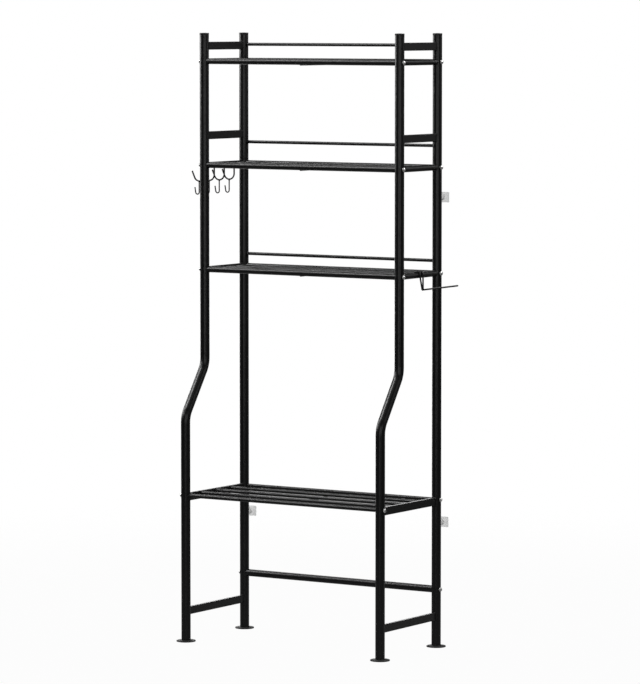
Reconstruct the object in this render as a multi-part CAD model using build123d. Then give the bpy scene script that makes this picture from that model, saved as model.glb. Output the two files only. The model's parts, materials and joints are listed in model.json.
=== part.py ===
# Over the toilet storage rack: two welded tube side frames, four rod shelves bolted between them,
# back rails, levelling feet, hanging hooks, a paper holder and wall plates.
# Millimetres. X runs left to right, Y to the wall behind, Z up.
# The origin is on the floor, midway between the four posts.
import os
from math import radians, sqrt, tan

from build123d import *

# Overall sizes
rack_height = 1700.0
post_spacing = 640.0
foot_depth = 295.0
top_depth = 198.0

# Posts
post_dia = 26.0
post_wall = 1.2
upper_bend_z = 773.0
lower_bend_z = 635.0
post_bend_radius = 62.0

# Caps in the tops of the posts
cap_height = 5.0
cap_plug_length = 12.0
cap_edge_radius = 1.0

# Levelling feet
foot_pad_dia = 54.0
foot_rim_height = 3.4
foot_boss_dia = 24.0
foot_height = 5.5
foot_edge_radius = 1.1
foot_stop_gap = 0.3
foot_stud_dia = 8.0
foot_stud_length = 24.0
foot_stud_seat = 2.5
foot_stud_chamfer = 0.8
foot_insert_length = 20.0

# Flat side rungs and lower shelf side rails
rung_height = 22.0
rung_width = 10.0
rung_wall = 1.2
rung_edge_radius = 1.6
top_rung_drop = 36.0
upper_rung_rise = 82.5
floor_rung_z = 86.0
side_rail_drop = 4.5

# Shelf rails and rods
upper_rail_dia = 16.0
upper_rail_wall = 1.0
lower_rail_dia = 11.0
lower_rail_wall = 1.0
shelf_drops = {"top": 79.0, "second": 368.5, "third": 660.5}
lower_shelf_z = 411.5
upper_rod_dia = 8.0
lower_rod_dia = 10.0
rods_per_shelf = 3
rod_seat_depth = 3.0
support_dia = 6.0
lower_support_setback = 62.0

# Back rails
guard_dia = 9.0
guard_rises = {"top": 46.0, "second": 60.0, "third": 35.0}
guard_seat_depth = 6.0
back_bar_dia = 20.0
back_bar_wall = 1.2
back_bar_z = 161.0

# Screws and their threaded inserts
screw_dia = 6.0
screw_head_dia = 11.5
screw_head_height = 4.0
screw_head_round = 3.0
screw_socket_flats = 4.0
screw_socket_depth = 2.0
insert_length = 14.0
insert_recess = 0.5

# Fits
seat_clearance = 0.05
hole_clearance = 0.2
hang_clearance = 0.3

# Wire ends, eased by this share of the wire's diameter
wire_end_ease = 0.3
wire_end_tolerance = 0.01

# Double hooks on the left end rail of the second shelf
hook_wire_dia = 4.4
hook_small_wire_dia = 3.5
hook_head_dia = 6.4
hook_head_height = 1.5
hook_shoulder_radius = 4.5
hook_drop = 46.0
hook_bend_radius = 17.0
hook_flare_angle = 66.0
hook_tip_length = 20.0
hook_small_drop = 37.0
hook_small_radius = 6.0
hook_small_flare_angle = 80.0
hook_small_tip_length = 15.0
hook_front_gap = 1.6
hook_rear_gap = 15.6
hook_count = 4

# Paper holder on the right end rail of the third shelf
holder_wire_dia = 4.5
holder_rod_gap = 1.35
holder_tail_round = 4.0
holder_neck = 4.0
holder_neck_round = 10.0
holder_drop = 40.0
holder_root_out = 14.0
holder_reach = 127.0
holder_tilt = 8.0
holder_top_flat = 0.4

# Wall plates behind the rear posts
plate_width = 44.0
plate_height = 29.0
plate_thickness = 3.0
plate_corner_radius = 3.0
spacer_dia = 18.0
spacer_length = 13.0
upper_plate_drop = 451.0
left_lower_plate_z = 336.0
right_lower_plate_z = 347.0

# Places worked out from the sizes above
post_r = post_dia / 2
post_bore_r = post_r - post_wall
left_x = -post_spacing / 2
right_x = post_spacing / 2
rear_y = foot_depth / 2
front_y = -foot_depth / 2
upper_front_y = rear_y - top_depth
post_bottom_z = foot_height + foot_stop_gap
post_top_z = rack_height - cap_height
plate_front_y = rear_y + post_r + spacer_length
shelf_heights = {name: rack_height - drop for name, drop in shelf_drops.items()}
guard_heights = {name: shelf_heights[name] + rise for name, rise in guard_rises.items()}
sides = {"left": left_x, "right": right_x}

parts = {}


def bar_x(dia, x0, x1, y, z):
    """Solid round bar along X."""
    length = abs(x1 - x0)
    return Pos((x0 + x1) / 2, y, z) * Rot(0, 90, 0) * Cylinder(dia / 2, length)


def bar_y(dia, y0, y1, x, z):
    """Solid round bar along Y."""
    length = abs(y1 - y0)
    return Pos(x, (y0 + y1) / 2, z) * Rot(90, 0, 0) * Cylinder(dia / 2, length)


def bar_z(dia, z0, z1, x, y):
    """Solid round bar along Z."""
    return Pos(x, y, (z0 + z1) / 2) * Cylinder(dia / 2, z1 - z0)


def post_space(x, y):
    """The round space that a straight stretch of post takes up, used to shape what butts on it."""
    return bar_z(post_dia, 0, rack_height, x, y)


def eased(radius, wall):
    """A corner radius that leaves some flat on the wall it rounds."""
    return min(radius, 0.45 * wall)


def wire_along(path, dia):
    """Round wire swept along a path, with its two end edges eased."""
    start = Plane(origin=path @ 0, z_dir=path % 0)
    wire = sweep(start * Circle(dia / 2), path=path)
    rims = [edge for edge in wire.edges().filter_by(GeomType.CIRCLE) if edge.is_closed]
    ends = [path @ 0, path @ 1]
    tips = [rim for rim in rims if min((rim.arc_center - end).length for end in ends) < wire_end_tolerance]
    return fillet(tips, dia * wire_end_ease)


# Posts
def front_post_path(x):
    """Centre line of a front post, bent twice so that its upper part stands further back."""
    points = [
        (x, front_y, post_bottom_z),
        (x, front_y, lower_bend_z),
        (x, upper_front_y, upper_bend_z),
        (x, upper_front_y, post_top_z),
    ]
    return FilletPolyline(*points, radius=post_bend_radius)


def front_post(x):
    """Bent tube with a cross hole at each shelf."""
    path = front_post_path(x)
    foot = Plane(origin=path @ 0, z_dir=path % 0)
    tube = sweep(foot * Circle(post_r), path=path) - sweep(foot * Circle(post_bore_r), path=path)
    for z in shelf_heights.values():
        tube -= screw_hole(x, upper_front_y, z)
    tube -= screw_hole(x, front_y, lower_shelf_z)
    return tube


def rear_post(x):
    """Straight tube with cross holes for the shelves and back bar, and inner holes for the guard rails."""
    tube = bar_z(post_dia, post_bottom_z, post_top_z, x, rear_y)
    tube -= bar_z(2 * post_bore_r, post_bottom_z, post_top_z, x, rear_y)
    for z in [*shelf_heights.values(), lower_shelf_z, back_bar_z]:
        tube -= screw_hole(x, rear_y, z)
    for z in guard_heights.values():
        tube -= bar_x(guard_dia + 2 * seat_clearance, 0, x, rear_y, z) & post_space(x, rear_y)
    return tube


def screw_hole(x, y, z):
    """Cross hole through both walls of a post."""
    return bar_x(screw_dia + 2 * hole_clearance, x - post_dia, x + post_dia, y, z)


for side, x in sides.items():
    parts[f"{side}_front_post"] = front_post(x)
    parts[f"{side}_rear_post"] = rear_post(x)

post_tops = [(x, y) for x in sides.values() for y in (upper_front_y, rear_y)]
post_feet = {"front": front_y, "rear": rear_y}


# Caps
def post_cap(x, y):
    """Plastic plug with a flange as wide as the post."""
    flange = bar_z(post_dia, post_top_z, rack_height, x, y)
    flange = fillet(flange.edges().group_by(Axis.Z)[-1], eased(cap_edge_radius, cap_height))
    plug = bar_z(2 * (post_bore_r - seat_clearance), post_top_z - cap_plug_length, post_top_z, x, y)
    return flange + plug


parts["post_caps"] = Compound([post_cap(x, y).solid() for x, y in post_tops])


# Levelling feet
def foot_pad(x, y):
    """Round pad with a low boss and a blind seat for its stud."""
    rim = bar_z(foot_pad_dia, 0, foot_rim_height, x, y)
    rim = fillet(rim.edges().filter_by(GeomType.CIRCLE), eased(foot_edge_radius, foot_rim_height))
    boss = bar_z(foot_boss_dia, foot_rim_height, foot_height, x, y)
    seat = bar_z(foot_stud_dia + 2 * seat_clearance, foot_stud_seat, foot_height, x, y)
    return rim + boss - seat


def foot_stud(x, y):
    """Threaded stud that stands in the pad, drawn plain at its outside diameter."""
    stud = bar_z(foot_stud_dia, foot_stud_seat, foot_height + foot_stud_length, x, y)
    return chamfer(stud.edges().group_by(Axis.Z)[-1], foot_stud_chamfer)


def foot_insert(x, y):
    """Threaded plug in the lower end of a post."""
    plug = bar_z(2 * (post_bore_r - seat_clearance), post_bottom_z, post_bottom_z + foot_insert_length, x, y)
    bore = bar_z(foot_stud_dia + 2 * seat_clearance, 0, rack_height, x, y)
    return plug - bore


for side, x in sides.items():
    for place, y in post_feet.items():
        parts[f"{side}_{place}_foot_pad"] = foot_pad(x, y)
        parts[f"{side}_{place}_foot_stud"] = foot_stud(x, y)

foot_inserts = [foot_insert(x, y).solid() for x in sides.values() for y in post_feet.values()]
parts["foot_inserts"] = Compound(foot_inserts)


# Flat rungs between the posts of each side frame
def rung(x, y0, z):
    """Flat tube from a front post to the rear post, its ends shaped to sit on both."""
    plane = Plane(origin=(x, y0, z), x_dir=(1, 0, 0), z_dir=(0, 1, 0))
    corner = eased(rung_edge_radius, min(rung_width, rung_height))
    outer = plane * RectangleRounded(rung_width, rung_height, corner)
    inner = plane * Rectangle(rung_width - 2 * rung_wall, rung_height - 2 * rung_wall)
    tube = extrude(outer - inner, rear_y - y0)
    return tube - post_space(x, y0) - post_space(x, rear_y)


# Rods and the holes that hold their ends
def rod_places(y0):
    """Y of each rod, evenly spread between a shelf's front and rear rail."""
    step = (rear_y - y0) / (rods_per_shelf + 1)
    return [y0 + step * (number + 1) for number in range(rods_per_shelf)]


def rod_holes(x, y0, z, dia):
    """Holes in the inner wall of an end rail."""
    return [bar_x(dia + 2 * seat_clearance, 0, x, y, z) for y in rod_places(y0)]


for side, x in sides.items():
    parts[f"{side}_top_rung"] = rung(x, upper_front_y, rack_height - top_rung_drop)
    parts[f"{side}_upper_rung"] = rung(x, upper_front_y, shelf_heights["second"] + upper_rung_rise)
    parts[f"{side}_floor_rung"] = rung(x, front_y, floor_rung_z)
    side_rail = rung(x, front_y, lower_shelf_z - side_rail_drop)
    for hole in rod_holes(x, front_y, lower_shelf_z, lower_rod_dia):
        side_rail -= hole
    parts[f"{side}_lower_side_rail"] = side_rail


# Round end rails of the upper shelves
def end_rail(x, z):
    """Round tube from front to rear post, its ends shaped to sit on both, with inner holes for the rods."""
    tube = bar_y(upper_rail_dia, upper_front_y, rear_y, x, z)
    tube -= bar_y(upper_rail_dia - 2 * upper_rail_wall, upper_front_y, rear_y, x, z)
    for hole in rod_holes(x, upper_front_y, z, upper_rod_dia):
        tube -= hole
    return tube - post_space(x, upper_front_y) - post_space(x, rear_y)


# Shelf rails, rods and supports
def long_rail(dia, wall, y, z):
    """Round tube from left to right post, its ends shaped to sit on both."""
    tube = bar_x(dia, left_x, right_x, y, z) - bar_x(dia - 2 * wall, left_x, right_x, y, z)
    return tube - post_space(left_x, y) - post_space(right_x, y)


def deck_rods(dia, end_half_width, y0, z):
    """Rods whose ends sit in the end rails' holes."""
    reach = right_x - end_half_width + rod_seat_depth
    return Compound([bar_x(dia, -reach, reach, y, z).solid() for y in rod_places(y0)])


def cross_support(rail_dia, rod_dia, y0, z, setback):
    """Wire under the rods at mid length, shaped to sit under the front and rear rails where it meets them."""
    wire_z = z - rod_dia / 2 - support_dia / 2
    wire = bar_y(support_dia, y0 + setback, rear_y - setback, 0, wire_z)
    wire -= bar_x(rail_dia, left_x, right_x, y0, z)
    return wire - bar_x(rail_dia, left_x, right_x, rear_y, z)


for name, z in shelf_heights.items():
    for side, x in sides.items():
        parts[f"{side}_{name}_end_rail"] = end_rail(x, z)
    parts[f"{name}_shelf_front_rail"] = long_rail(upper_rail_dia, upper_rail_wall, upper_front_y, z)
    parts[f"{name}_shelf_rear_rail"] = long_rail(upper_rail_dia, upper_rail_wall, rear_y, z)
    parts[f"{name}_shelf_rods"] = deck_rods(upper_rod_dia, upper_rail_dia / 2, upper_front_y, z)
    parts[f"{name}_shelf_support"] = cross_support(upper_rail_dia, upper_rod_dia, upper_front_y, z, 0)

parts["lower_shelf_front_rail"] = long_rail(lower_rail_dia, lower_rail_wall, front_y, lower_shelf_z)
parts["lower_shelf_rear_rail"] = long_rail(lower_rail_dia, lower_rail_wall, rear_y, lower_shelf_z)
parts["lower_shelf_rods"] = deck_rods(lower_rod_dia, rung_width / 2, front_y, lower_shelf_z)
parts["lower_shelf_support"] = cross_support(
    lower_rail_dia, lower_rod_dia, front_y, lower_shelf_z, lower_support_setback
)


# Guard rails and back bar
def guard_rail(z):
    """Thin rod held captive between the rear posts."""
    reach = right_x - post_r + guard_seat_depth
    return bar_x(guard_dia, -reach, reach, rear_y, z)


for name, z in guard_heights.items():
    parts[f"{name}_guard_rail"] = guard_rail(z)
parts["back_bar"] = long_rail(back_bar_dia, back_bar_wall, rear_y, back_bar_z)


# Screws and inserts, one pair at each end of each long rail
def screw():
    """Button head screw along X, with its head's seat at X zero and its shank towards plus X."""
    head = bar_x(screw_head_dia, -screw_head_height, 0, 0, 0)
    head = fillet(head.edges().group_by(Axis.X)[0], min(screw_head_round, 0.9 * screw_head_height))
    socket_face = Plane(origin=(-screw_head_height, 0, 0), z_dir=(1, 0, 0)) * RegularPolygon(
        screw_socket_flats / 2, 6, major_radius=False
    )
    shank = bar_x(screw_dia, 0, post_dia + insert_length, 0, 0)
    return head - extrude(socket_face, screw_socket_depth) + shank


def rail_insert(rail_dia, rail_wall):
    """Threaded plug along X inside a rail's end, placed as the screw is."""
    start = post_dia + insert_recess
    plug = bar_x(rail_dia - 2 * rail_wall - 2 * seat_clearance, start, start + insert_length, 0, 0)
    return plug - bar_x(screw_dia + 2 * seat_clearance, 0, start + insert_length, 0, 0)


def at_post(shape, side, y, z):
    """Place a fastener that was drawn along plus X at the outer face of a post."""
    if side == "left":
        return Pos(left_x - post_r, y, z) * shape
    return Pos(right_x + post_r, y, z) * Rot(0, 0, 180) * shape


rail_ends = []
for z in shelf_heights.values():
    for y in (upper_front_y, rear_y):
        rail_ends.append((y, z, upper_rail_dia, upper_rail_wall))
for y in post_feet.values():
    rail_ends.append((y, lower_shelf_z, lower_rail_dia, lower_rail_wall))
rail_ends.append((rear_y, back_bar_z, back_bar_dia, back_bar_wall))

screws = []
inserts = []
for side in sides:
    for y, z, rail_dia, rail_wall in rail_ends:
        screws.append(at_post(screw(), side, y, z).solid())
        inserts.append(at_post(rail_insert(rail_dia, rail_wall), side, y, z).solid())
parts["frame_screws"] = Compound(screws)
parts["rail_inserts"] = Compound(inserts)


# Double hooks, drawn in a plane whose first axis points outwards and second axis up
def hook(y, rail_z):
    """Wire hook pegged into the end rail, with a wide upper prong and a narrow lower prong."""
    plane = Plane(origin=(left_x, y, rail_z), x_dir=(-1, 0, 0), z_dir=(0, 1, 0))
    rail_bore_r = upper_rail_dia / 2 - upper_rail_wall
    head_x = sqrt(rail_bore_r**2 - (hook_head_dia / 2) ** 2) - hang_clearance
    shoulder_x = upper_rail_dia / 2 + hang_clearance
    leg_x = shoulder_x + hook_shoulder_radius
    bend_x = leg_x + hook_bend_radius
    bend_y = hook_bend_radius - hook_drop
    peg = Line((head_x - hook_head_height, 0), (shoulder_x, 0))
    shoulder = CenterArc((shoulder_x, -hook_shoulder_radius), hook_shoulder_radius, 90, -90)
    leg = Line((leg_x, -hook_shoulder_radius), (leg_x, bend_y))
    bend = CenterArc((bend_x, bend_y), hook_bend_radius, 180, 90 + hook_flare_angle)
    tip = Line(bend @ 1, bend @ 1 + (bend % 1) * hook_tip_length)
    upper = wire_along(plane * Wire([peg, shoulder, leg, bend, tip]), hook_wire_dia)
    head = bar_x(hook_head_dia, left_x - head_x, left_x - head_x + hook_head_height, y, rail_z)

    small_x = bend_x + hook_small_radius
    small_y = hook_small_radius - hook_drop - hook_small_drop
    stem = Line((bend_x, -hook_drop), (bend_x, small_y))
    curl = CenterArc((small_x, small_y), hook_small_radius, 180, 90 + hook_small_flare_angle)
    end = Line(curl @ 1, curl @ 1 + (curl % 1) * hook_small_tip_length)
    lower = wire_along(plane * Wire([stem, curl, end]), hook_small_wire_dia)
    return upper + lower + head


first_hook_y = upper_front_y + post_r + hook_front_gap + hook_wire_dia / 2
last_hook_y = rear_y - post_r - hook_rear_gap - hook_wire_dia / 2
hook_pitch = (last_hook_y - first_hook_y) / (hook_count - 1)
hook_z = shelf_heights["second"]
peg_hole_dia = hook_wire_dia + 2 * hole_clearance
for number in range(hook_count):
    hook_y = first_hook_y + number * hook_pitch
    parts[f"hook_{number + 1}"] = hook(hook_y, hook_z)
    parts["left_second_end_rail"] -= bar_x(peg_hole_dia, left_x - upper_rail_dia, left_x, hook_y, hook_z)


# Paper holder, a hairpin of wire over the end rail that carries one arm
def paper_holder(rail_z):
    """Hairpin that straddles the middle rod and hooks under it, with its two legs joined to the arm."""
    middle_y = rod_places(upper_front_y)[rods_per_shelf // 2]
    crown = upper_rail_dia / 2 + hang_clearance + holder_wire_dia / 2
    corner_radius = crown - holder_top_flat / 2
    half_width = upper_rod_dia / 2 + holder_rod_gap + holder_wire_dia / 2
    tail = upper_rod_dia / 2 + hang_clearance + holder_wire_dia / 2

    def place(out, across, up):
        return (right_x + out, middle_y + across, rail_z + up)

    half = []
    for across in (-1, 1):
        wide = across * half_width
        half.append([
            place(holder_root_out, across * holder_wire_dia / 2, -holder_drop),
            place(crown, wide, -holder_neck),
            place(crown, wide, crown),
            place(-crown, wide, crown),
            place(-crown, wide, -tail),
        ])
    radii = [holder_neck_round, corner_radius, corner_radius, holder_tail_round]
    hairpin = FilletPolyline(*half[0], *reversed(half[1]), radius=radii + radii[::-1])

    rise = (holder_reach - holder_root_out) * tan(radians(holder_tilt))
    arm = Line(
        place(holder_root_out - holder_wire_dia / 2, 0, -holder_drop),
        place(holder_reach, 0, rise - holder_drop),
    )
    return wire_along(hairpin, holder_wire_dia) + wire_along(arm, holder_wire_dia)


parts["paper_holder"] = paper_holder(shelf_heights["third"])


# Wall plates and the spacers that hold the posts off them
def wall_plate(x, z):
    """Thin plate that lies on the wall."""
    face = Plane(origin=(x, plate_front_y, z), x_dir=(1, 0, 0), z_dir=(0, 1, 0))
    corner = eased(plate_corner_radius, min(plate_width, plate_height))
    return extrude(face * RectangleRounded(plate_width, plate_height, corner), plate_thickness)


def wall_spacer(x, z):
    """Round boss between a plate and the back of its post."""
    return bar_y(spacer_dia, rear_y, plate_front_y, x, z) - post_space(x, rear_y)


plate_places = {
    "right_upper": (right_x, rack_height - upper_plate_drop),
    "right_lower": (right_x, right_lower_plate_z),
    "left_lower": (left_x, left_lower_plate_z),
}
for name, (x, z) in plate_places.items():
    parts[f"{name}_wall_plate"] = wall_plate(x, z)
parts["wall_spacers"] = Compound([wall_spacer(x, z).solid() for x, z in plate_places.values()])


os.makedirs("parts", exist_ok=True)
for name, shape in parts.items():
    export_step(shape, f"parts/{name}.step")
print(len(parts), "nodes written")
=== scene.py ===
import json
import math

import bpy
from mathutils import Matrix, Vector


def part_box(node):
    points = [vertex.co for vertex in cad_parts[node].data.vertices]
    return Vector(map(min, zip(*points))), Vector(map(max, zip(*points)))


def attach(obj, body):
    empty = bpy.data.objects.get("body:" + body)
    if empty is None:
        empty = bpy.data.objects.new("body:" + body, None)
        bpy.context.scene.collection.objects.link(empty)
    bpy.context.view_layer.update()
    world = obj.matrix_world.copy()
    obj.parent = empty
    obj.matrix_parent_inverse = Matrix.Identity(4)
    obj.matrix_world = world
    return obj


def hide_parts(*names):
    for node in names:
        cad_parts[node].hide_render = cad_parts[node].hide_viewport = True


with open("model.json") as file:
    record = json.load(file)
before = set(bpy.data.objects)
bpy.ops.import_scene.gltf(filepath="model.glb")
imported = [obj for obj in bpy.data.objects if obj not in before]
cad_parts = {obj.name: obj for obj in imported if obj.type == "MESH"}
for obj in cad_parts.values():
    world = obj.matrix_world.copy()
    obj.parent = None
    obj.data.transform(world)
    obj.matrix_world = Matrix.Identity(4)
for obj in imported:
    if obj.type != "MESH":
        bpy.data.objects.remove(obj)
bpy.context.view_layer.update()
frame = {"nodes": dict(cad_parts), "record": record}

bl_info = {
    "name": "Over the Toilet Storage Rack",
    "version": (1, 0, 0),
    "blender": (4, 5, 0),
    "location": "View3D > Sidebar > Rack",
    "description": "Finishes, details and studio for a black tube storage rack",
    "category": "Object",
}


# Sizes and colours a user can change
class RackFinish(bpy.types.PropertyGroup):
    coat_color: bpy.props.FloatVectorProperty(
        name="Coat Colour",
        description="Colour of the powder coat on the tubes",
        subtype="COLOR",
        size=3,
        min=0,
        max=1,
        default=(0.003, 0.003, 0.0032),
    )
    coat_roughness: bpy.props.FloatProperty(
        name="Coat Roughness",
        description="How soft the highlights on the powder coat are",
        min=0.05,
        max=1,
        default=0.3,
    )
    peel_scale: bpy.props.FloatProperty(
        name="Orange Peel Size",
        description="Ripples per metre in the powder coat",
        min=50,
        max=2000,
        default=420,
    )
    peel_depth: bpy.props.FloatProperty(
        name="Orange Peel Depth",
        description="Strength of the ripples in the powder coat",
        min=0,
        max=1,
        default=0.003,
    )
    screw_color: bpy.props.FloatVectorProperty(
        name="Screw Colour",
        description="Colour of the plated screws",
        subtype="COLOR",
        size=3,
        min=0,
        max=1,
        default=(0.93, 0.93, 0.92),
    )
    plate_color: bpy.props.FloatVectorProperty(
        name="Wall Plate Colour",
        description="Colour of the frosted wall plates",
        subtype="COLOR",
        size=3,
        min=0,
        max=1,
        default=(0.8, 0.81, 0.8),
    )
    spacer_color: bpy.props.FloatVectorProperty(
        name="Spacer Colour",
        description="Colour of the spacers between plates and posts",
        subtype="COLOR",
        size=3,
        min=0,
        max=1,
        default=(0.93, 0.93, 0.92),
    )


class RackDetails(bpy.types.PropertyGroup):
    cap_overhang: bpy.props.FloatProperty(
        name="Cap Overhang",
        description="How far a cap stands out from its post",
        subtype="DISTANCE",
        unit="LENGTH",
        min=0,
        max=0.002,
        default=0.0002,
    )
    cap_round: bpy.props.FloatProperty(
        name="Cap Rounding",
        description="Rounding of a cap's top edge",
        subtype="DISTANCE",
        unit="LENGTH",
        min=0.0002,
        max=0.003,
        default=0.0012,
    )
    pad_edge: bpy.props.FloatProperty(
        name="Pad Edge Height",
        description="Height of a foot pad at its rim",
        subtype="DISTANCE",
        unit="LENGTH",
        min=0.002,
        max=0.005,
        default=0.0032,
    )
    thread_pitch: bpy.props.FloatProperty(
        name="Thread Pitch",
        description="Distance between turns of the foot thread",
        subtype="DISTANCE",
        unit="LENGTH",
        min=0.0008,
        max=0.002,
        default=0.00125,
    )
    bead_radius: bpy.props.FloatProperty(
        name="Weld Bead Radius",
        description="Half the thickness of a weld bead",
        subtype="DISTANCE",
        unit="LENGTH",
        min=0.0004,
        max=0.002,
        default=0.0011,
    )
    hook_stem_out: bpy.props.FloatProperty(
        name="Hook Stem Offset",
        description="How far a hook's lower prong hangs out from the rail's middle",
        subtype="DISTANCE",
        unit="LENGTH",
        default=0.0298,
    )
    hook_stem_rise: bpy.props.FloatProperty(
        name="Hook Stem Height",
        description="Height of the lower prong's weld above the bottom of the hook",
        subtype="DISTANCE",
        unit="LENGTH",
        default=0.0365,
    )
    holder_root_out: bpy.props.FloatProperty(
        name="Holder Root Offset",
        description="How far the root of the paper holder's arm stands out from the rail's middle",
        subtype="DISTANCE",
        unit="LENGTH",
        default=0.014,
    )
    holder_root_rise: bpy.props.FloatProperty(
        name="Holder Root Height",
        description="Height of the arm's root weld above the lowest point of the holder",
        subtype="DISTANCE",
        unit="LENGTH",
        default=0.0026,
    )
    plate_lip: bpy.props.FloatProperty(
        name="Plate Lip",
        description="Width of the raised lip round a wall plate",
        subtype="DISTANCE",
        unit="LENGTH",
        min=0.0005,
        max=0.006,
        default=0.002,
    )


class RackStage(bpy.types.PropertyGroup):
    floor_size: bpy.props.FloatProperty(
        name="Floor Size",
        description="Width of the pale floor",
        subtype="DISTANCE",
        unit="LENGTH",
        min=2,
        default=7,
    )
    floor_drop: bpy.props.FloatProperty(
        name="Floor Drop",
        description="How far the floor lies under the feet, so that they stay in sight when let down",
        subtype="DISTANCE",
        unit="LENGTH",
        min=0,
        default=0.0102,
    )
    camera_place: bpy.props.FloatVectorProperty(
        name="Camera Place",
        description="Where the camera stands",
        subtype="TRANSLATION",
        unit="LENGTH",
        size=3,
        default=(6.14601, -9.51916, 1.76025),
    )
    camera_turn: bpy.props.FloatProperty(
        name="Camera Turn",
        description="Turn of the camera about the vertical",
        subtype="ANGLE",
        unit="ROTATION",
        default=math.radians(32.715),
    )
    camera_tilt: bpy.props.FloatProperty(
        name="Camera Tilt",
        description="How far the camera looks down",
        subtype="ANGLE",
        unit="ROTATION",
        default=math.radians(4.616),
    )
    camera_lens: bpy.props.FloatProperty(
        name="Camera Lens",
        description="Focal length in millimetres",
        min=20,
        max=400,
        default=215.65,
    )


# Node helpers
def add_node(tree, kind, place, inputs=None, **settings):
    """New node at a place in the tree, with the values of its inputs and its settings."""
    node = tree.nodes.new(kind)
    node.location = place
    for name, value in settings.items():
        setattr(node, name, value)
    for name, value in (inputs or {}).items():
        node.inputs[name].default_value = value
    return node


def new_material(name):
    """New node material, with its tree and its main shader."""
    material = bpy.data.materials.new(name)
    material.use_nodes = True
    tree = material.node_tree
    return material, tree, tree.nodes["Principled BSDF"]


def coat_group():
    """Shared node group: fine ripple, cloudy tone and gloss of a sprayed coat."""
    group = bpy.data.node_groups.new("sprayed_coat", "ShaderNodeTree")
    link = group.links.new
    face = group.interface
    for name, default in (("Gloss Base", 0.35), ("Ripples", 400.0), ("Depth", 0.1)):
        socket = face.new_socket(name, in_out="INPUT", socket_type="NodeSocketFloat")
        socket.default_value = default
    face.new_socket("Colour", in_out="INPUT", socket_type="NodeSocketColor")
    face.new_socket("Colour", in_out="OUTPUT", socket_type="NodeSocketColor")
    face.new_socket("Roughness", in_out="OUTPUT", socket_type="NodeSocketFloat")
    face.new_socket("Normal", in_out="OUTPUT", socket_type="NodeSocketVector")
    entry = add_node(group, "NodeGroupInput", (-900, 0))
    leave = add_node(group, "NodeGroupOutput", (500, 0))
    coords = add_node(group, "ShaderNodeTexCoord", (-900, -300))

    cloud = add_node(group, "ShaderNodeTexNoise", (-600, 200), {"Scale": 9.0, "Detail": 4.0})
    tone = add_node(group, "ShaderNodeMapRange", (-350, 250), {"To Min": 0.85, "To Max": 1.15})
    tint = add_node(group, "ShaderNodeVectorMath", (-100, 250), operation="SCALE")
    link(coords.outputs["Object"], cloud.inputs["Vector"])
    link(cloud.outputs["Fac"], tone.inputs["Value"])
    link(entry.outputs["Colour"], tint.inputs[0])
    link(tone.outputs["Result"], tint.inputs["Scale"])
    link(tint.outputs["Vector"], leave.inputs["Colour"])

    speck = add_node(group, "ShaderNodeTexNoise", (-600, -50), {"Scale": 55.0, "Detail": 3.0})
    swing = add_node(group, "ShaderNodeMapRange", (-350, -50), {"To Min": -0.012, "To Max": 0.012})
    gloss = add_node(group, "ShaderNodeMath", (-100, -50), operation="ADD")
    link(coords.outputs["Object"], speck.inputs["Vector"])
    link(speck.outputs["Fac"], swing.inputs["Value"])
    link(entry.outputs["Gloss Base"], gloss.inputs[0])
    link(swing.outputs["Result"], gloss.inputs[1])
    link(gloss.outputs["Value"], leave.inputs["Roughness"])

    peel = add_node(group, "ShaderNodeTexNoise", (-600, -350), {"Detail": 2.0})
    bump = add_node(group, "ShaderNodeBump", (-100, -350), {"Distance": 0.0004})
    link(coords.outputs["Object"], peel.inputs["Vector"])
    link(entry.outputs["Ripples"], peel.inputs["Scale"])
    link(entry.outputs["Depth"], bump.inputs["Strength"])
    link(peel.outputs["Fac"], bump.inputs["Height"])
    link(bump.outputs["Normal"], leave.inputs["Normal"])
    return group


# Slots of bare plated metal, and slots that let light through
METALLIC = {"screw_steel": 1.0, "zinc_steel": 1.0}
ALPHA = {"clear_plastic": 0.33, "white_plastic": 0.55}


def finish_name(slot):
    """Name of the material that a slot wears."""
    return f"{slot}_finish"


def coated(slot, group, color, roughness, ripples, depth):
    """Material for a slot that wears the sprayed coat group."""
    material, tree, shader = new_material(finish_name(slot))
    values = {"Gloss Base": roughness, "Ripples": ripples, "Depth": depth, "Colour": (*color, 1)}
    coat = add_node(tree, "ShaderNodeGroup", (-300, 200), values, node_tree=group)
    tree.links.new(coat.outputs["Colour"], shader.inputs["Base Color"])
    tree.links.new(coat.outputs["Roughness"], shader.inputs["Roughness"])
    tree.links.new(coat.outputs["Normal"], shader.inputs["Normal"])
    shader.inputs["Metallic"].default_value = METALLIC.get(slot, 0.0)
    shader.inputs["Alpha"].default_value = ALPHA.get(slot, 1.0)
    return material


def paint(obj, material):
    """Puts one material on every slot of an object."""
    if not obj.material_slots:
        obj.data.materials.append(material)
    for slot in obj.material_slots:
        slot.material = material


class RACK_OT_finishes(bpy.types.Operator):
    """Give each tube, wire and fitting its procedural finish"""

    bl_idname = "rack.finishes"
    bl_label = "Finishes"

    def execute(self, context):
        look = context.scene.rack_finish
        coat = (look.coat_color, look.coat_roughness, look.peel_scale, look.peel_depth)
        # colour, roughness, ripples per metre and strength of the ripples
        looks = {
            "black_steel": coat,
            "black_wire": coat,
            "black_plastic": ((0.012, 0.012, 0.012), 0.45, 900, 0.12),
            "foot_rubber": ((0.013, 0.013, 0.013), 0.6, 1200, 0.3),
            "screw_steel": (look.screw_color, 0.28, 1500, 0.05),
            "zinc_steel": ((0.5, 0.5, 0.48), 0.38, 900, 0.08),
            "clear_plastic": (look.plate_color, 0.4, 700, 0.1),
            "white_plastic": (look.spacer_color, 0.35, 700, 0.05),
        }
        group = coat_group()
        made = {slot: coated(slot, group, *values) for slot, values in looks.items()}
        for row in frame["record"]["subparts"]:
            paint(frame["nodes"][row["node"]], made[row["material_slot"]])
        return {"FINISHED"}


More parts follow.
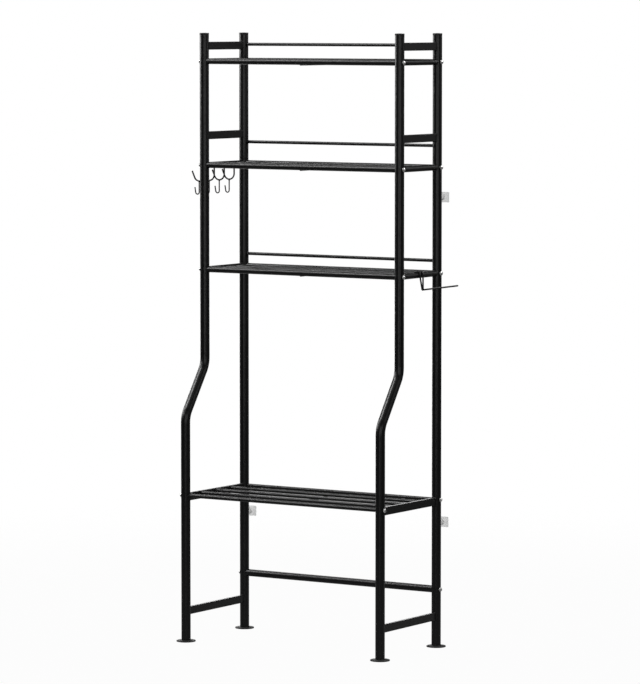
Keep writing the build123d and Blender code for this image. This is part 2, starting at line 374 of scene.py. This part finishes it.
# Mesh helpers
NEAR = 1e-5  # points closer than this, in metres, count as level with each other
RIM_MARGIN = 1e-4  # points this close to a radius count as on it
MERGE_DISTANCE = 1e-6
# degrees between neighbouring faces up to which they are shaded as one
SHADE_ANGLE = 35
THREAD_SHADE_ANGLE = 30
WELD_SHADE_ANGLE = 60


def start(context):
    """Object mode with nothing selected."""
    if context.object and context.object.mode != "OBJECT":
        bpy.ops.object.mode_set(mode="OBJECT")
    bpy.ops.object.select_all(action="DESELECT")


def only(context, *objs):
    """Select these objects and make the first one active."""
    start(context)
    for obj in objs:
        obj.select_set(True)
    context.view_layer.objects.active = objs[0]


def settle():
    """Put the place, turn and scale of the selected objects into their meshes."""
    bpy.ops.object.transform_apply(location=True, rotation=True, scale=True)


def edit_all():
    """Edit mode with the whole mesh selected."""
    bpy.ops.object.mode_set(mode="EDIT")
    bpy.ops.mesh.select_all(action="SELECT")


def extrude(offset):
    """Extrude what is selected."""
    bpy.ops.mesh.extrude_region_move(TRANSFORM_OT_translate={"value": offset})


def pick(obj, kind, test):
    """Go to edit mode with just the faces, edges or vertices that pass the test selected."""
    bpy.ops.object.mode_set(mode="EDIT")
    bpy.ops.mesh.select_mode(type=kind)
    bpy.ops.mesh.select_all(action="DESELECT")
    bpy.ops.object.mode_set(mode="OBJECT")
    mesh = obj.data
    if kind == "FACE":
        for face in mesh.polygons:
            face.select = test(face.center, face.normal)
    elif kind == "EDGE":
        for edge in mesh.edges:
            ends = [mesh.vertices[i].co for i in edge.vertices]
            edge.select = test(*ends)
    else:
        for vertex in mesh.vertices:
            vertex.select = test(vertex.co)
    bpy.ops.object.mode_set(mode="EDIT")


def rim_edges(radius, z=None):
    """Test for level edges out at a radius, and at one height where it is given."""

    def test(a, b):
        out = min(a.xy.length, b.xy.length) > radius - RIM_MARGIN
        level = abs(a.z - b.z) < NEAR
        return out and level and (z is None or abs(a.z - z) < NEAR)

    return test


def tidy(obj, angle=SHADE_ANGLE):
    """Back to object mode with outward normals, smooth shading and all of the place in the mesh."""
    edit_all()
    bpy.ops.mesh.remove_doubles(threshold=MERGE_DISTANCE)
    bpy.ops.mesh.normals_make_consistent(inside=False)
    bpy.ops.object.mode_set(mode="OBJECT")
    settle()
    bpy.ops.object.shade_smooth_by_angle(angle=math.radians(angle))
    return obj


def modify(obj, kind, **values):
    """Add a modifier, set it and apply it."""
    modifier = obj.modifiers.new(kind.lower(), kind)
    for name, value in values.items():
        setattr(modifier, name, value)
    bpy.ops.object.modifier_apply(modifier=modifier.name)


def cylinder(context, vertices, radius, bottom, top):
    """Upright cylinder about the Z axis, from one height to another."""
    start(context)
    middle = (0, 0, (top + bottom) / 2)
    bpy.ops.mesh.primitive_cylinder_add(
        vertices=vertices, radius=radius, depth=top - bottom, location=middle
    )
    settle()
    return context.object


def weld_drop(context, segments, rings, radius, test, stretch):
    """Small drop of weld: a ball, stretched where its vertices pass the test."""
    start(context)
    bpy.ops.mesh.primitive_uv_sphere_add(segments=segments, ring_count=rings, radius=radius)
    ball = context.object
    pick(ball, "VERT", test)
    bpy.ops.transform.resize(value=stretch)
    return tidy(ball, WELD_SHADE_ANGLE)


def put(context, obj, place):
    """Move an object to a place and put the move into its mesh."""
    obj.location = place
    only(context, obj)
    settle()


def copies(context, obj, places):
    """Copies of an object instead of the object itself, one at each turn and place."""
    made = []
    for turn, place in places:
        only(context, obj)
        bpy.ops.object.duplicate()
        twin = context.object
        twin.rotation_euler = turn
        twin.location = place
        settle()
        made.append(twin)
    bpy.data.objects.remove(obj)
    return made


def joined(context, *objs):
    """Objects joined into the first one."""
    only(context, *objs)
    bpy.ops.object.join()
    return context.object


def finish_piece(obj, name, body, slot, *replaced):
    """Name a piece, paint it and tie it to its CAD body."""
    obj.name = name
    obj.data.name = name
    paint(obj, bpy.data.materials[finish_name(slot)])
    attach(obj, body)
    if replaced:
        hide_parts(*replaced)


def centre(node):
    """Middle of a CAD node's box."""
    low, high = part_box(node)
    return (Vector(low) + Vector(high)) / 2


def span(node):
    """Size of a CAD node's box."""
    low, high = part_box(node)
    return Vector(high) - Vector(low)


# Places taken from the CAD nodes
UNTURNED = (0, 0, 0)
UPPER_SHELVES = ("top", "second", "third")
POST_RADIUS = span("left_rear_post").x / 2
LEFT_X = centre("left_rear_post").x
RIGHT_X = centre("right_rear_post").x
REAR_Y = centre("left_rear_post").y
FRONT_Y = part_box("left_front_post")[0][1] + POST_RADIUS
UPPER_FRONT_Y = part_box("left_front_post")[1][1] - POST_RADIUS
SIDE_X = {"left": LEFT_X, "right": RIGHT_X}


def at_posts(context, obj, front_y):
    """Copies of an object on the axes of the four posts, each with the name of its post's corner."""
    rows = {"front": front_y, "rear": REAR_Y}
    places = {f"{side}_{row}": (x, y, 0) for side, x in SIDE_X.items() for row, y in rows.items()}
    made = copies(context, obj, [(UNTURNED, place) for place in places.values()])
    return zip(places, made)


# Post caps
CAP_PLUG_INSET = 0.0013  # from the outside of the post to the plug inside it
CAP_PLUG_DEPTH = 0.011
CAP_SEAT_BEVEL = 0.0005
CAP_RING_SHARES = (0.35, 0.3)  # widths of the rings round the raised middle, as shares of the radius
CAP_RISE = 0.0003


class RACK_OT_caps(bpy.types.Operator):
    """Model the plastic caps in the tops of the posts"""

    bl_idname = "rack.caps"
    bl_label = "Post Caps"

    def execute(self, context):
        size = context.scene.rack_details
        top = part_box("post_caps")[1][2]
        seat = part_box("left_rear_post")[1][2]
        radius = POST_RADIUS + size.cap_overhang
        cap = cylinder(context, 72, radius, seat, top)
        pick(cap, "FACE", lambda c, n: n.z < -0.5)
        bpy.ops.mesh.inset(thickness=size.cap_overhang + CAP_PLUG_INSET)
        extrude((0, 0, -CAP_PLUG_DEPTH))
        pick(cap, "EDGE", rim_edges(radius, top))
        bpy.ops.mesh.bevel(offset=size.cap_round, segments=4, affect="EDGES")
        pick(cap, "EDGE", rim_edges(radius, seat))
        bpy.ops.mesh.bevel(offset=CAP_SEAT_BEVEL, segments=2, affect="EDGES")
        pick(cap, "FACE", lambda c, n: n.z > 0.9 and c.z > top - NEAR)
        for share in CAP_RING_SHARES:
            bpy.ops.mesh.inset(thickness=radius * share)
        bpy.ops.transform.translate(value=(0, 0, CAP_RISE))
        tidy(cap)
        for corner, twin in at_posts(context, cap, UPPER_FRONT_Y):
            finish_piece(twin, f"{corner}_cap", "frame", "black_plastic", "post_caps")
        return {"FINISHED"}


# Foot pads
PAD_RIM = 0.004  # flat ring along the rim
PAD_SLOPE = 0.009  # sloping ring inside it
PAD_SHOULDER = 0.0025  # steep ring up to the top
PAD_SLOPE_SHARE = 0.45  # share of the rise over the slope; the shoulder takes the rest
PAD_SEAT_RADIUS = 0.0042
PAD_SEAT_DEPTH = 0.0028
PAD_EDGE_BEVEL = 0.0009
PAD_GROOVES = 3
PAD_GROOVE_GAP = 0.003
PAD_GROOVE_WIDTH = 0.0012
PAD_GROOVE_DEPTH = 0.0008


class RACK_OT_foot_pads(bpy.types.Operator):
    """Model the round rubber pads under the posts"""

    bl_idname = "rack.foot_pads"
    bl_label = "Foot Pads"

    def execute(self, context):
        box = span("left_front_foot_pad")
        radius = box.x / 2
        edge = context.scene.rack_details.pad_edge
        rise = box.z - edge
        pad = cylinder(context, 96, radius, 0, edge)
        pick(pad, "FACE", lambda c, n: n.z > 0.5)
        bpy.ops.mesh.inset(thickness=PAD_RIM)
        bpy.ops.mesh.inset(thickness=PAD_SLOPE)
        bpy.ops.transform.translate(value=(0, 0, rise * PAD_SLOPE_SHARE))
        bpy.ops.mesh.inset(thickness=PAD_SHOULDER)
        bpy.ops.transform.translate(value=(0, 0, rise * (1 - PAD_SLOPE_SHARE)))
        bpy.ops.mesh.inset(thickness=radius - PAD_RIM - PAD_SLOPE - PAD_SHOULDER - PAD_SEAT_RADIUS)
        extrude((0, 0, -PAD_SEAT_DEPTH))
        pick(pad, "EDGE", rim_edges(radius))
        bpy.ops.mesh.bevel(offset=PAD_EDGE_BEVEL, segments=3, affect="EDGES")
        pick(pad, "FACE", lambda c, n: n.z < -0.9 and c.z < NEAR)
        for _ in range(PAD_GROOVES):
            bpy.ops.mesh.inset(thickness=PAD_GROOVE_GAP)
            bpy.ops.mesh.inset(thickness=PAD_GROOVE_WIDTH)
            extrude((0, 0, PAD_GROOVE_DEPTH))
            bpy.ops.mesh.inset(thickness=PAD_GROOVE_WIDTH)
            extrude((0, 0, -PAD_GROOVE_DEPTH))
        tidy(pad)
        for corner, twin in at_posts(context, pad, FRONT_Y):
            foot = f"{corner}_foot"
            finish_piece(twin, f"{foot}_rubber", foot, "foot_rubber", f"{foot}_pad")
        return {"FINISHED"}


# Foot studs, with sizes of the thread as shares of its pitch
THREAD_DEPTH_SHARE = 0.55
THREAD_TOOTH_SHARE = 0.62
THREAD_STEPS = 28  # steps in one turn
THREAD_TOP_MARGIN = 0.001
STUD_TIP_BEVEL = 0.0008


class RACK_OT_foot_studs(bpy.types.Operator):
    """Model the threaded studs of the levelling feet"""

    bl_idname = "rack.foot_studs"
    bl_label = "Foot Studs"

    def execute(self, context):
        pitch = context.scene.rack_details.thread_pitch
        low, high = (corner[2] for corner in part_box("left_front_foot_stud"))
        outer = span("left_front_foot_stud").x / 2
        stud = cylinder(context, 40, outer - pitch * THREAD_DEPTH_SHARE, low, high)
        pick(stud, "EDGE", lambda a, b: min(a.z, b.z) > high - NEAR)
        bpy.ops.mesh.bevel(offset=STUD_TIP_BEVEL, segments=1, affect="EDGES")

        start(context)
        upright = (math.pi / 2, math.pi / 2, 0)
        bpy.ops.mesh.primitive_circle_add(vertices=3, radius=pitch * THREAD_TOOTH_SHARE, rotation=upright)
        ridge = context.object
        settle()
        reach = max(v.co.x for v in ridge.data.vertices)
        bottom = low + pitch
        edit_all()
        bpy.ops.transform.translate(value=(outer - reach, 0, bottom))
        bpy.ops.object.mode_set(mode="OBJECT")
        modify(
            ridge,
            "SCREW",
            axis="Z",
            angle=2 * math.pi,
            screw_offset=pitch,
            iterations=int((high - THREAD_TOP_MARGIN - bottom) / pitch) - 1,
            steps=THREAD_STEPS,
            render_steps=THREAD_STEPS,
        )
        edit_all()
        bpy.ops.mesh.fill_holes(sides=3)
        tidy(joined(context, stud, ridge), THREAD_SHADE_ANGLE)
        for corner, twin in at_posts(context, stud, FRONT_Y):
            foot = f"{corner}_foot"
            finish_piece(twin, f"{foot}_thread", foot, "zinc_steel", f"{foot}_stud")
        return {"FINISHED"}


# Welds
RIPPLE_SIZE = 0.0022
RIPPLE_SHARE = 0.55  # height of the ripples, as a share of the bead's radius


def bead_ring(context, outline, thick, around):
    """Weld bead along an outline in the XZ plane, bent about Z to lie on a round tube on its minus Y side."""
    only(context, outline)
    bpy.ops.object.convert(target="CURVE")
    curve = context.object.data
    curve.bevel_depth = thick
    curve.bevel_resolution = 2
    bpy.ops.object.convert(target="MESH")
    bead = context.object
    if around:
        bend = -bead.dimensions.x / around
        modify(bead, "SIMPLE_DEFORM", deform_method="BEND", deform_axis="Z", angle=bend)
    ripple = bpy.data.textures.get("weld_ripple") or bpy.data.textures.new("weld_ripple", "CLOUDS")
    ripple.noise_scale = RIPPLE_SIZE
    strength = thick * RIPPLE_SHARE
    modify(bead, "DISPLACE", texture=ripple, strength=strength, mid_level=0.5, texture_coords="LOCAL")
    return tidy(bead, WELD_SHADE_ANGLE)


def round_outline(context, radius):
    """Circle round a tube that runs along Y."""
    start(context)
    bpy.ops.mesh.primitive_circle_add(vertices=48, radius=radius, rotation=(math.pi / 2, 0, 0))
    settle()
    return context.object


def flat_outline(context, width, height, corner):
    """Rounded rectangle round a flat tube that runs along Y."""
    start(context)
    bpy.ops.mesh.primitive_plane_add(size=1, rotation=(math.pi / 2, 0, 0))
    outline = context.object
    outline.scale = (width, height, 1)
    settle()
    pick(outline, "VERT", lambda v: True)
    bpy.ops.mesh.bevel(offset=corner, segments=4, affect="VERTICES")
    bpy.ops.mesh.select_all(action="SELECT")
    bpy.ops.mesh.delete(type="ONLY_FACE")
    pick(outline, "EDGE", lambda a, b: (a - b).length > corner)
    bpy.ops.mesh.subdivide(number_cuts=8)
    return outline


def scatter(context, bead, places):
    """Copies of a bead, each turned and moved to a place, joined into one object."""
    return joined(context, *copies(context, bead, places))


# Tubes of a side frame, each with the place of the front post at its height
FLAT_TUBES = {
    "top_rung": UPPER_FRONT_Y,
    "upper_rung": UPPER_FRONT_Y,
    "floor_rung": FRONT_Y,
    "lower_side_rail": FRONT_Y,
}
ROUND_TUBES = {f"{shelf}_end_rail": UPPER_FRONT_Y for shelf in UPPER_SHELVES}
FLAT_BEAD_SHARE = 0.6  # how much wider than its flat tube a bead runs, as a share of its radius
FLAT_BEAD_CORNER = 0.0018
ROUND_BEAD_SHARE = 0.5  # how far outside its round tube a bead runs, as a share of its radius


def tube_ends(side, tubes):
    """Turn and place of the beads at the front and rear end of each tube on a side."""
    places = []
    for tube, front_y in tubes.items():
        z = centre(f"{side}_{tube}").z
        places.append((UNTURNED, (SIDE_X[side], front_y + POST_RADIUS, z)))
        places.append(((0, 0, math.pi), (SIDE_X[side], REAR_Y - POST_RADIUS, z)))
    return places


class RACK_OT_frame_welds(bpy.types.Operator):
    """Model the weld beads where rungs and end rails meet the posts"""

    bl_idname = "rack.frame_welds"
    bl_label = "Frame Welds"

    def execute(self, context):
        thick = context.scene.rack_details.bead_radius
        for side in SIDE_X:
            flat = span(f"{side}_top_rung")
            wider = thick * FLAT_BEAD_SHARE
            outline = flat_outline(context, flat.x + wider, flat.z + wider, FLAT_BEAD_CORNER)
            bead = bead_ring(context, outline, thick, POST_RADIUS)
            flat_welds = scatter(context, bead, tube_ends(side, FLAT_TUBES))
            radius = span(f"{side}_top_end_rail").x / 2 + thick * ROUND_BEAD_SHARE
            bead = bead_ring(context, round_outline(context, radius), thick, POST_RADIUS)
            round_welds = scatter(context, bead, tube_ends(side, ROUND_TUBES))
            welds = joined(context, flat_welds, round_welds)
            finish_piece(welds, f"{side}_frame_welds", "frame", "black_steel")
        return {"FINISHED"}


ROD_BEAD_THICK = 0.7  # thickness of a bead round a rod, as a share of a bead on the frame
ROD_BEAD_SHARE = 0.3  # how far outside its rod a bead runs, as a share of its radius
TACK_RADIUS = 0.0011
TACK_CORE = 0.0006  # half width of the part of a tack that is stretched
TACK_STRETCH = (1, 1.7, 1)
TACK_SHARE = 0.9  # place of a tack beside the wire's middle, as a share of the wire's radius
TACK_DROP = 0.0003


class RACK_OT_shelf_welds(bpy.types.Operator):
    """Model the beads that close the rod ends and tack the cross supports"""

    bl_idname = "rack.shelf_welds"
    bl_label = "Shelf Welds"

    def execute(self, context):
        thick = context.scene.rack_details.bead_radius * ROD_BEAD_THICK
        for shelf in (*UPPER_SHELVES, "lower"):
            low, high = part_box(f"{shelf}_shelf_rods")
            rod_r = (high[2] - low[2]) / 2
            z = (low[2] + high[2]) / 2
            first, last = low[1] + rod_r, high[1] - rod_r
            rows = [first, (first + last) / 2, last]
            if shelf == "lower":
                around, half = 0, span("left_lower_side_rail").x / 2
            else:
                around = half = span(f"left_{shelf}_end_rail").x / 2
            outline = round_outline(context, rod_r + thick * ROD_BEAD_SHARE)
            bead = bead_ring(context, outline, thick, around)
            places = []
            for x, inward in ((LEFT_X, 1), (RIGHT_X, -1)):
                turn = (0, math.pi / 2, -inward * math.pi / 2)
                places += [(turn, (x + inward * half, y, z)) for y in rows]
            ends = scatter(context, bead, places)

            tack = weld_drop(context, 16, 10, TACK_RADIUS, lambda v: abs(v.x) < TACK_CORE, TACK_STRETCH)
            aside = span(f"{shelf}_shelf_support").x / 2 * TACK_SHARE
            under = z - rod_r - TACK_DROP
            spots = [(UNTURNED, (x, y, under)) for y in rows for x in (-aside, aside)]
            welds = joined(context, ends, scatter(context, tack, spots))
            finish_piece(welds, f"{shelf}_shelf_welds", "frame", "black_steel")
        return {"FINISHED"}


HOOKS = ("hook_1", "hook_2", "hook_3", "hook_4")
# Drops of weld on a hook and on the holder: radius, height from which they are stretched, and stretch
HOOK_DROP = (0.0024, 0.0008, (1.35, 1, 1))
HOLDER_DROP = (0.0027, 0.0006, (0.8, 1.5, 1))


class RACK_OT_wire_welds(bpy.types.Operator):
    """Model the weld on each hook and on the paper holder"""

    bl_idname = "rack.wire_welds"
    bl_label = "Wire Welds"

    def execute(self, context):
        size = context.scene.rack_details
        hook_x = LEFT_X - size.hook_stem_out
        holder_x = RIGHT_X + size.holder_root_out
        jobs = [(hook, HOOK_DROP, hook_x, size.hook_stem_rise) for hook in HOOKS]
        jobs.append(("paper_holder", HOLDER_DROP, holder_x, size.holder_root_rise))
        for node, (radius, above, stretch), x, rise in jobs:
            low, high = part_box(node)
            weld = weld_drop(context, 24, 14, radius, lambda v: v.z > above, stretch)
            put(context, weld, (x, (low[1] + high[1]) / 2, low[2] + rise))
            finish_piece(weld, f"{node}_weld", node, "black_wire")
        return {"FINISHED"}


# Wall plates
PLATE_CORNER = 0.003
PLATE_RECESS = 0.0008
PLATE_EDGE_BEVEL = 0.0005
PLATE_RIM_SHARE = 0.49  # share of the plate's size from which a point counts as on its outline


def plate_edges(box):
    """Test for the outer edges of a plate's front and back face."""

    def outer(point):
        return max(abs(point.x) / box.x, abs(point.z) / box.z) > PLATE_RIM_SHARE

    def test(a, b):
        on_face = abs(abs(a.y) - box.y / 2) < NEAR and abs(a.y - b.y) < NEAR
        return on_face and outer(a) and outer(b)

    return test


class RACK_OT_wall_plates(bpy.types.Operator):
    """Model the frosted plates that lie on the wall"""

    bl_idname = "rack.wall_plates"
    bl_label = "Wall Plates"

    def execute(self, context):
        size = context.scene.rack_details
        for name in ("right_upper", "right_lower", "left_lower"):
            node = f"{name}_wall_plate"
            box = span(node)
            start(context)
            bpy.ops.mesh.primitive_cube_add(size=1, location=(0, 0, 0))
            plate = context.object
            plate.scale = box
            settle()
            pick(plate, "EDGE", lambda a, b: abs(a.y - b.y) > NEAR)
            bpy.ops.mesh.bevel(offset=PLATE_CORNER, segments=5, affect="EDGES")
            pick(plate, "FACE", lambda c, n: n.y < -0.9)
            bpy.ops.mesh.inset(thickness=size.plate_lip)
            extrude((0, PLATE_RECESS, 0))
            pick(plate, "EDGE", plate_edges(box))
            bpy.ops.mesh.bevel(offset=PLATE_EDGE_BEVEL, segments=2, affect="EDGES")
            tidy(plate)
            put(context, plate, centre(node))
            finish_piece(plate, f"{name}_plate", "frame", "clear_plastic", node)
        return {"FINISHED"}


# Studio
FLOOR_TONES = (0.22, 0.25)
FLOOR_WHITE_SHARE = 0.97  # share of plain white in what the camera sees of the floor
FLOOR_FADE = (0.2, 0.5)  # where the floor starts to fade and where it is gone, as shares of its size
ROOM_STRENGTH = 0.025
CAMERA_REACH = 200
LIGHTS = (
    # name, place, aim, width and height, brightness
    ("left_panel", (-3.2, 3.0, 1.55), (1, 0, 0), (8.0, 1.5), 2.6),
    ("front_left", (1.54, -3.6, 1.5), (-0.4, 0.92, 0), (1.2, 2.6), 1.35),
    ("front_right", (3.6, -2.4, 1.5), (-0.84, 0.54, 0), (1.2, 2.6), 1.2),
    ("overhead", (0.0, 0.0, 4.5), (0, 0.001, -1), (4.0, 4.0), 0.8),
    ("right_back", (3.0, 4.5, 1.8), (-0.55, -0.83, 0), (4.0, 3.0), 0.1),
    ("rail_light", (-2.6, -1.9, 4.4), (0.55, 0.42, -0.72), (2.4, 0.8), 14.0),
    ("rail_fill", (-2.4, -3.4, 2.8), (0.54, 0.76, -0.36), (2.2, 0.6), 3.0),
    ("key", (3.2, 2.3, 3.6), (-0.7, -0.5, -0.5), (2.0, 2.0), 10.0),
    ("back_glow", (-3.6, 5.2, 0.9), (0.57, -0.82, 0), (3.0, 0.8), 3.0),
    ("left_strip", (-3.6, -0.55, 1.9), (1, 0.15, 0), (0.8, 1.8), 9.0),
)


def floor_material(size):
    """Pale matt floor that shows almost white to the camera and fades out at its rim."""
    material, tree, shader = new_material("pale_floor")
    link = tree.links.new
    shader.inputs["Roughness"].default_value = 0.9
    shader.inputs["Specular IOR Level"].default_value = 0.0
    coords = add_node(tree, "ShaderNodeTexCoord", (-1100, 200))
    noise = add_node(tree, "ShaderNodeTexNoise", (-800, 300), {"Scale": 3.0})
    ramp = add_node(tree, "ShaderNodeValToRGB", (-550, 300))
    for element, tone in zip(ramp.color_ramp.elements, FLOOR_TONES):
        element.color = (tone, tone, tone, 1)
    link(coords.outputs["Object"], noise.inputs["Vector"])
    link(noise.outputs["Fac"], ramp.inputs["Fac"])
    link(ramp.outputs["Color"], shader.inputs["Base Color"])

    path = add_node(tree, "ShaderNodeLightPath", (-800, 700))
    share = add_node(tree, "ShaderNodeMath", (-500, 700), {1: FLOOR_WHITE_SHARE}, operation="MULTIPLY")
    glow = add_node(tree, "ShaderNodeEmission", (-300, -200))
    bright = add_node(tree, "ShaderNodeMixShader", (300, 200))
    link(path.outputs["Is Camera Ray"], share.inputs[0])
    link(share.outputs["Value"], bright.inputs["Fac"])
    link(shader.outputs["BSDF"], bright.inputs[1])
    link(glow.outputs["Emission"], bright.inputs[2])

    near, far = (size * part for part in FLOOR_FADE)
    away = add_node(tree, "ShaderNodeVectorMath", (-800, -400), operation="LENGTH")
    fade = add_node(
        tree,
        "ShaderNodeMapRange",
        (-550, -400),
        {"From Min": near, "From Max": far},
        interpolation_type="SMOOTHSTEP",
    )
    clear = add_node(tree, "ShaderNodeBsdfTransparent", (-300, -400))
    edge = add_node(tree, "ShaderNodeMixShader", (550, 100))
    link(coords.outputs["Object"], away.inputs[0])
    link(away.outputs["Value"], fade.inputs["Value"])
    link(fade.outputs["Result"], edge.inputs["Fac"])
    link(bright.outputs["Shader"], edge.inputs[1])
    link(clear.outputs["BSDF"], edge.inputs[2])
    link(edge.outputs["Shader"], tree.nodes["Material Output"].inputs["Surface"])
    return material


def floor_piece(context, size, below):
    """Round floor under the feet."""
    start(context)
    bpy.ops.mesh.primitive_circle_add(
        vertices=96, radius=size / 2, fill_type="NGON", location=(0, 0, -below)
    )
    floor = context.object
    floor.name = "floor"
    settle()
    paint(floor, floor_material(size))


def studio_world(scene):
    """Dim room for reflections behind a white backdrop for the camera."""
    world = bpy.data.worlds.new("studio")
    scene.world = world
    world.use_nodes = True
    tree = world.node_tree
    white = (1, 1, 1, 1)
    room = tree.nodes["Background"]
    room.inputs["Color"].default_value = white
    room.inputs["Strength"].default_value = ROOM_STRENGTH
    backdrop = add_node(tree, "ShaderNodeBackground", (0, -200), {"Color": white})
    path = add_node(tree, "ShaderNodeLightPath", (0, 300))
    mix = add_node(tree, "ShaderNodeMixShader", (250, 100))
    tree.links.new(path.outputs["Is Camera Ray"], mix.inputs["Fac"])
    tree.links.new(room.outputs["Background"], mix.inputs[1])
    tree.links.new(backdrop.outputs["Background"], mix.inputs[2])
    tree.links.new(mix.outputs["Shader"], tree.nodes["World Output"].inputs["Surface"])


class RACK_OT_stage(bpy.types.Operator):
    """Set up the pale floor, soft lights and camera"""

    bl_idname = "rack.stage"
    bl_label = "Studio"

    def execute(self, context):
        setup = context.scene.rack_stage
        scene = context.scene
        scene.view_settings.view_transform = "Standard"
        floor_piece(context, setup.floor_size, setup.floor_drop)
        studio_world(scene)
        for name, place, aim, size, radiance in LIGHTS:
            bpy.ops.object.light_add(type="AREA", location=place)
            lamp = context.object
            lamp.name = name
            lamp.data.shape = "RECTANGLE"
            lamp.data.size, lamp.data.size_y = size
            lamp.data.energy = radiance * math.pi * size[0] * size[1]
            lamp.rotation_euler = Vector(aim).to_track_quat("-Z", "Z").to_euler()
            lamp.visible_camera = False

        bpy.ops.object.camera_add(location=setup.camera_place)
        camera = context.object
        camera.name = "photo_camera"
        camera.rotation_euler = (math.pi / 2 - setup.camera_tilt, 0, setup.camera_turn)
        camera.data.lens = setup.camera_lens
        camera.data.clip_end = CAMERA_REACH
        scene.camera = camera
        return {"FINISHED"}


class RACK_PT_panel(bpy.types.Panel):
    """Buttons for each step of the rack"""

    bl_label = "Storage Rack"
    bl_idname = "RACK_PT_panel"
    bl_space_type = "VIEW_3D"
    bl_region_type = "UI"
    bl_category = "Rack"

    def draw(self, context):
        layout = self.layout
        for key in GROUPS:
            group = getattr(context.scene, key)
            for name in group.__annotations__:
                layout.prop(group, name)
        for step in STEPS:
            layout.operator(step.bl_idname)


GROUPS = {"rack_finish": RackFinish, "rack_details": RackDetails, "rack_stage": RackStage}
STEPS = (
    RACK_OT_finishes,
    RACK_OT_caps,
    RACK_OT_foot_pads,
    RACK_OT_foot_studs,
    RACK_OT_frame_welds,
    RACK_OT_shelf_welds,
    RACK_OT_wire_welds,
    RACK_OT_wall_plates,
    RACK_OT_stage,
)
CLASSES = (*GROUPS.values(), *STEPS, RACK_PT_panel)


def register():
    for cls in CLASSES:
        bpy.utils.register_class(cls)
    for name, group in GROUPS.items():
        setattr(bpy.types.Scene, name, bpy.props.PointerProperty(type=group))


def unregister():
    for name in GROUPS:
        delattr(bpy.types.Scene, name)
    for cls in reversed(CLASSES):
        bpy.utils.unregister_class(cls)


def main():
    register()
    bpy.ops.rack.finishes()
    bpy.ops.rack.caps()
    bpy.ops.rack.foot_pads()
    bpy.ops.rack.foot_studs()
    bpy.ops.rack.frame_welds()
    bpy.ops.rack.shelf_welds()
    bpy.ops.rack.wire_welds()
    bpy.ops.rack.wall_plates()
    bpy.ops.rack.stage()


if __name__ == "__main__":
    main()
